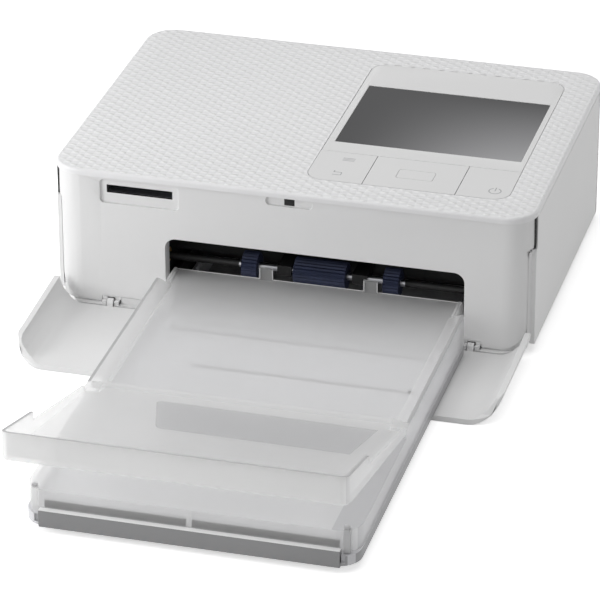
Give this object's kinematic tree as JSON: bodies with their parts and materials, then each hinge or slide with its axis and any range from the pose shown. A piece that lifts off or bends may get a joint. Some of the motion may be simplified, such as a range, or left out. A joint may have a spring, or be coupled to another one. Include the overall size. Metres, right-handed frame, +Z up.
{
  "type": "compact photo printer",
  "caption": "Compact photo printer with an open front door, a pull-out paper cassette with a flipped-open lid, a top display panel with keys and a side ink door.",
  "frame": {"origin": "middle of the whole outline, on the surface the printer stands on", "axes": "+Z up, +Y from the open cassette towards the back of the printer, +X to the right seen from the front"},
  "size_m": [0.1822, 0.3048, 0.0576],
  "materials": {
    "white_abs": "satin",
    "white_keys": "satin",
    "grey_abs": "satin",
    "tray_grey": "satin",
    "clear_lid": "satin",
    "black_abs": "satin",
    "display_glass": "gloss",
    "rubber_navy": "matte",
    "rubber_dark": "matte",
    "zinc_steel": "satin",
    "white_pom": "satin",
    "brass_pinion": "satin",
    "aluminium_sink": "satin",
    "green_board": "gloss",
    "amber_flex": "gloss",
    "ink_sheet": "gloss"
  },
  "bodies": {
    "printer": {"front_shell": "white_abs", "top_cover": "white_abs", "left_shell": "white_abs", "rear_cover": "white_abs", "control_panel": "white_abs", "lower_case": "grey_abs", "latch_insert": "black_abs", "paper_bay": "black_abs", "exit_guide": "black_abs", "roller_holders": "black_abs", "dc_jack": "black_abs", "display_module": "black_abs", "ribbon_cassette": "black_abs", "display_window": "display_glass", "rubber_feet": "rubber_dark", "case_screws": "zinc_steel", "card_reader": "zinc_steel", "cassette_door_pins": "zinc_steel", "ink_door_pins": "zinc_steel", "left_plate": "zinc_steel", "right_plate": "zinc_steel", "gearbox_plate": "zinc_steel", "idler_axle": "zinc_steel", "head_pivot_shaft": "zinc_steel", "head_springs": "zinc_steel", "feed_motor": "zinc_steel", "ribbon_motor": "zinc_steel", "usb_port": "zinc_steel", "shaft_bushings": "brass_pinion", "control_board": "green_board", "main_board": "green_board", "display_cable": "amber_flex", "ribbon_film": "ink_sheet"},
    "cassette": {"cassette_tray": "tray_grey", "cassette_inner_lid": "clear_lid"},
    "outer_lid": {"cassette_outer_lid": "clear_lid"},
    "paper_lifter": {"pressure_plate": "tray_grey"},
    "front_door": {"cassette_door": "white_abs"},
    "side_door": {"ink_door": "white_abs"},
    "menu_button": {"menu_key": "white_keys"},
    "nav_button": {"nav_key": "white_keys"},
    "ok_button": {"ok_key": "white_keys"},
    "power_button": {"power_key": "white_keys"},
    "feed": {"feed_shaft": "zinc_steel", "feed_rollers": "rubber_navy", "feed_gear": "white_pom"},
    "idler": {"idler_gear": "white_pom"},
    "capstan": {"capstan_shaft": "zinc_steel", "capstan_gear": "white_pom"},
    "feed_drive": {"feed_pinion": "brass_pinion"},
    "pinch": {"pinch_roller": "rubber_dark"},
    "platen": {"platen_roller": "rubber_dark"},
    "head": {"thermal_head": "aluminium_sink", "head_arm": "zinc_steel"},
    "supply": {"supply_spool": "white_pom"},
    "takeup": {"takeup_spool": "white_pom", "takeup_gear": "white_pom"},
    "ribbon_drive": {"ribbon_pinion": "brass_pinion"}
  },
  "joints": [
    {"name": "cassette_slide", "type": "slide", "parent": "printer", "child": "cassette", "axis": [0, -1, 0], "range_m": [0, 0.04]},
    {"name": "outer_lid_hinge", "type": "hinge", "parent": "cassette", "child": "outer_lid", "pos_m": [0.0092, -0.0652, 0.0165], "axis": [-1, 0, 0], "range_deg": [0, 130]},
    {"name": "pressure_plate_hinge", "type": "hinge", "parent": "cassette", "child": "paper_lifter", "pos_m": [0.0092, 0.0054, 0.0056], "axis": [1, 0, 0], "range_deg": [0, 12]},
    {"name": "front_door_hinge", "type": "hinge", "parent": "printer", "child": "front_door", "pos_m": [0, 0.0218, 0.0024], "axis": [-1, 0, 0], "range_deg": [0, 0.3]},
    {"name": "ink_door_hinge", "type": "hinge", "parent": "printer", "child": "side_door", "pos_m": [0.0872, 0.0829, 0.0046], "axis": [0, 1, 0], "range_deg": [0, 90]},
    {"name": "menu_key_press", "type": "slide", "parent": "printer", "child": "menu_button", "axis": [0, 0, -1], "range_m": [0, 0.00035], "stiffness_N_per_m": 900, "springref_m": -0.0004},
    {"name": "nav_key_press", "type": "slide", "parent": "printer", "child": "nav_button", "axis": [0, 0, -1], "range_m": [0, 0.00035], "stiffness_N_per_m": 900, "springref_m": -0.0004},
    {"name": "ok_key_press", "type": "slide", "parent": "printer", "child": "ok_button", "axis": [0, 0, -1], "range_m": [0, 0.00035], "stiffness_N_per_m": 900, "springref_m": -0.0004},
    {"name": "power_key_press", "type": "slide", "parent": "printer", "child": "power_button", "axis": [0, 0, -1], "range_m": [0, 0.00035], "stiffness_N_per_m": 900, "springref_m": -0.0004},
    {"name": "capstan_turn", "type": "hinge", "parent": "printer", "child": "capstan", "pos_m": [0.0092, 0.0744, 0.02], "axis": [1, 0, 0], "continuous": true},
    {"name": "feed_turn", "type": "hinge", "parent": "printer", "child": "feed", "pos_m": [0.0092, 0.0344, 0.0188], "axis": [1, 0, 0], "continuous": true},
    {"name": "idler_turn", "type": "hinge", "parent": "printer", "child": "idler", "pos_m": [-0.0545, 0.05433, 0.02178], "axis": [1, 0, 0], "continuous": true},
    {"name": "feed_pinion_turn", "type": "hinge", "parent": "printer", "child": "feed_drive", "pos_m": [-0.0545, 0.08167, 0.0326], "axis": [1, 0, 0], "continuous": true},
    {"name": "pinch_turn", "type": "hinge", "parent": "printer", "child": "pinch", "pos_m": [0.0092, 0.0744, 0.0276], "axis": [1, 0, 0], "continuous": true},
    {"name": "platen_turn", "type": "hinge", "parent": "printer", "child": "platen", "pos_m": [0.0092, 0.0944, 0.0175], "axis": [1, 0, 0], "continuous": true},
    {"name": "head_lower", "type": "hinge", "parent": "printer", "child": "head", "pos_m": [0.0092, 0.1314, 0.046], "axis": [1, 0, 0], "range_deg": [0, 3.5], "stiffness_Nm_per_rad": 0.6, "springref_deg": -5.73},
    {"name": "supply_turn", "type": "hinge", "parent": "printer", "child": "supply", "pos_m": [0.0092, 0.0754, 0.039], "axis": [1, 0, 0], "continuous": true},
    {"name": "takeup_turn", "type": "hinge", "parent": "printer", "child": "takeup", "pos_m": [0.0092, 0.1134, 0.039], "axis": [1, 0, 0], "continuous": true},
    {"name": "ribbon_pinion_turn", "type": "hinge", "parent": "printer", "child": "ribbon_drive", "pos_m": [-0.0545, 0.126, 0.03173], "axis": [1, 0, 0], "continuous": true}
  ],
  "couplings": [
    {"joint": "idler_turn", "follows": "capstan_turn", "ratio": -0.92308},
    {"joint": "feed_turn", "follows": "capstan_turn", "ratio": 1},
    {"joint": "feed_pinion_turn", "follows": "capstan_turn", "ratio": -2},
    {"joint": "ribbon_pinion_turn", "follows": "takeup_turn", "ratio": -2}
  ]
}
